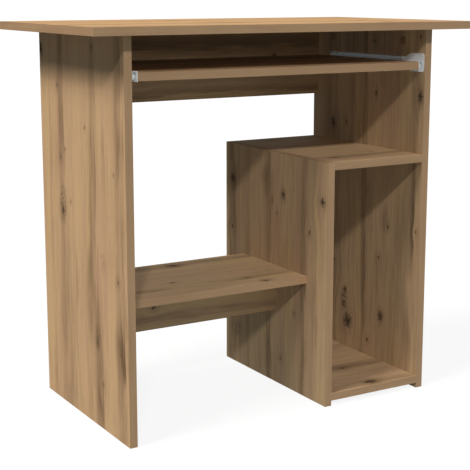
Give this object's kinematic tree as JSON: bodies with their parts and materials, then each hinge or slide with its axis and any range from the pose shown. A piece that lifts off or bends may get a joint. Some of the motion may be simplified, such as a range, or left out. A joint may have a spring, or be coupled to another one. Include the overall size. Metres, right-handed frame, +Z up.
{
  "type": "computer desk",
  "caption": "Compact oak-look computer desk: overhanging top, roller keyboard tray, foot shelf with stretcher, and an open computer compartment at the right.",
  "frame": {"origin": "on the floor, under the middle of the desktop", "axes": "+X to the user's right along the desk's width, +Y to the back, +Z up; the front faces -Y"},
  "size_m": [0.8, 0.45, 0.74],
  "materials": {
    "oak_board": "matt melamine, knotty oak print",
    "oak_edging": "matt, oak print",
    "beech_dowel": "raw beech",
    "zinc_plated_steel": "bright zinc",
    "zinc_die_casting": "as cast",
    "brown_cap_plastic": "matt",
    "white_nylon": "satin",
    "white_coated_steel": "satin white powder coat"
  },
  "bodies": {
    "desk_frame": {"back_rail": "oak_board", "back_rail_cam_bolts": "zinc_plated_steel", "back_rail_cam_locks": "zinc_die_casting", "back_rail_dowels": "beech_dowel", "back_rail_edging": "oak_edging", "cam_cover_caps": "brown_cap_plastic", "desktop": "oak_board", "desktop_cam_bolts": "zinc_plated_steel", "desktop_cam_locks": "zinc_die_casting", "desktop_dowels": "beech_dowel", "desktop_edging": "oak_edging", "foot_shelf": "oak_board", "foot_shelf_cam_bolts": "zinc_plated_steel", "foot_shelf_cam_locks": "zinc_die_casting", "foot_shelf_dowels": "beech_dowel", "foot_shelf_edging": "oak_edging", "foot_shelf_stretcher": "oak_board", "foot_shelf_stretcher_edging": "oak_edging", "left_cabinet_runner": "white_coated_steel", "left_cabinet_runner_screws": "zinc_plated_steel", "left_front_roller_axle": "zinc_plated_steel", "left_side_panel": "oak_board", "left_side_panel_edging": "oak_edging", "pedestal_bottom_shelf": "oak_board", "pedestal_bottom_shelf_cam_bolts": "zinc_plated_steel", "pedestal_bottom_shelf_cam_locks": "zinc_die_casting", "pedestal_bottom_shelf_dowels": "beech_dowel", "pedestal_bottom_shelf_edging": "oak_edging", "pedestal_side_panel": "oak_board", "pedestal_side_panel_edging": "oak_edging", "pedestal_top_shelf": "oak_board", "pedestal_top_shelf_cam_bolts": "zinc_plated_steel", "pedestal_top_shelf_cam_locks": "zinc_die_casting", "pedestal_top_shelf_dowels": "beech_dowel", "pedestal_top_shelf_edging": "oak_edging", "right_cabinet_runner": "white_coated_steel", "right_cabinet_runner_screws": "zinc_plated_steel", "right_front_roller_axle": "zinc_plated_steel", "right_side_panel": "oak_board", "right_side_panel_edging": "oak_edging", "stretcher_cam_bolts": "zinc_plated_steel", "stretcher_cam_locks": "zinc_die_casting", "stretcher_dowels": "beech_dowel"},
    "tray": {"keyboard_tray": "oak_board", "keyboard_tray_edging": "oak_edging", "left_rear_roller_axle": "zinc_plated_steel", "left_tray_runner": "white_coated_steel", "left_tray_runner_screws": "zinc_plated_steel", "right_rear_roller_axle": "zinc_plated_steel", "right_tray_runner": "white_coated_steel", "right_tray_runner_screws": "zinc_plated_steel"},
    "left_front_roller_body": {"left_front_roller": "white_nylon"},
    "right_front_roller_body": {"right_front_roller": "white_nylon"},
    "left_rear_roller_body": {"left_rear_roller": "white_nylon"},
    "right_rear_roller_body": {"right_rear_roller": "white_nylon"}
  },
  "joints": [
    {"name": "tray_slide", "type": "slide", "parent": "desk_frame", "child": "tray", "axis": [0, -1, 0], "range_m": [0, 0.225]},
    {"name": "left_front_roller_spin", "type": "hinge", "parent": "desk_frame", "child": "left_front_roller_body", "pos_m": [-0.3081, -0.173, 0.6548], "axis": [1, 0, 0], "continuous": true},
    {"name": "left_rear_roller_spin", "type": "hinge", "parent": "tray", "child": "left_rear_roller_body", "pos_m": [-0.3083, 0.103, 0.66], "axis": [1, 0, 0], "continuous": true},
    {"name": "right_front_roller_spin", "type": "hinge", "parent": "desk_frame", "child": "right_front_roller_body", "pos_m": [0.3081, -0.173, 0.6548], "axis": [1, 0, 0], "continuous": true},
    {"name": "right_rear_roller_spin", "type": "hinge", "parent": "tray", "child": "right_rear_roller_body", "pos_m": [0.3083, 0.103, 0.66], "axis": [1, 0, 0], "continuous": true}
  ],
  "couplings": [
    {"joint": "left_front_roller_spin", "follows": "tray_slide", "rad_per_m": 129.87},
    {"joint": "left_rear_roller_spin", "follows": "tray_slide", "rad_per_m": 117.65},
    {"joint": "right_front_roller_spin", "follows": "tray_slide", "rad_per_m": 129.87},
    {"joint": "right_rear_roller_spin", "follows": "tray_slide", "rad_per_m": 117.65}
  ]
}
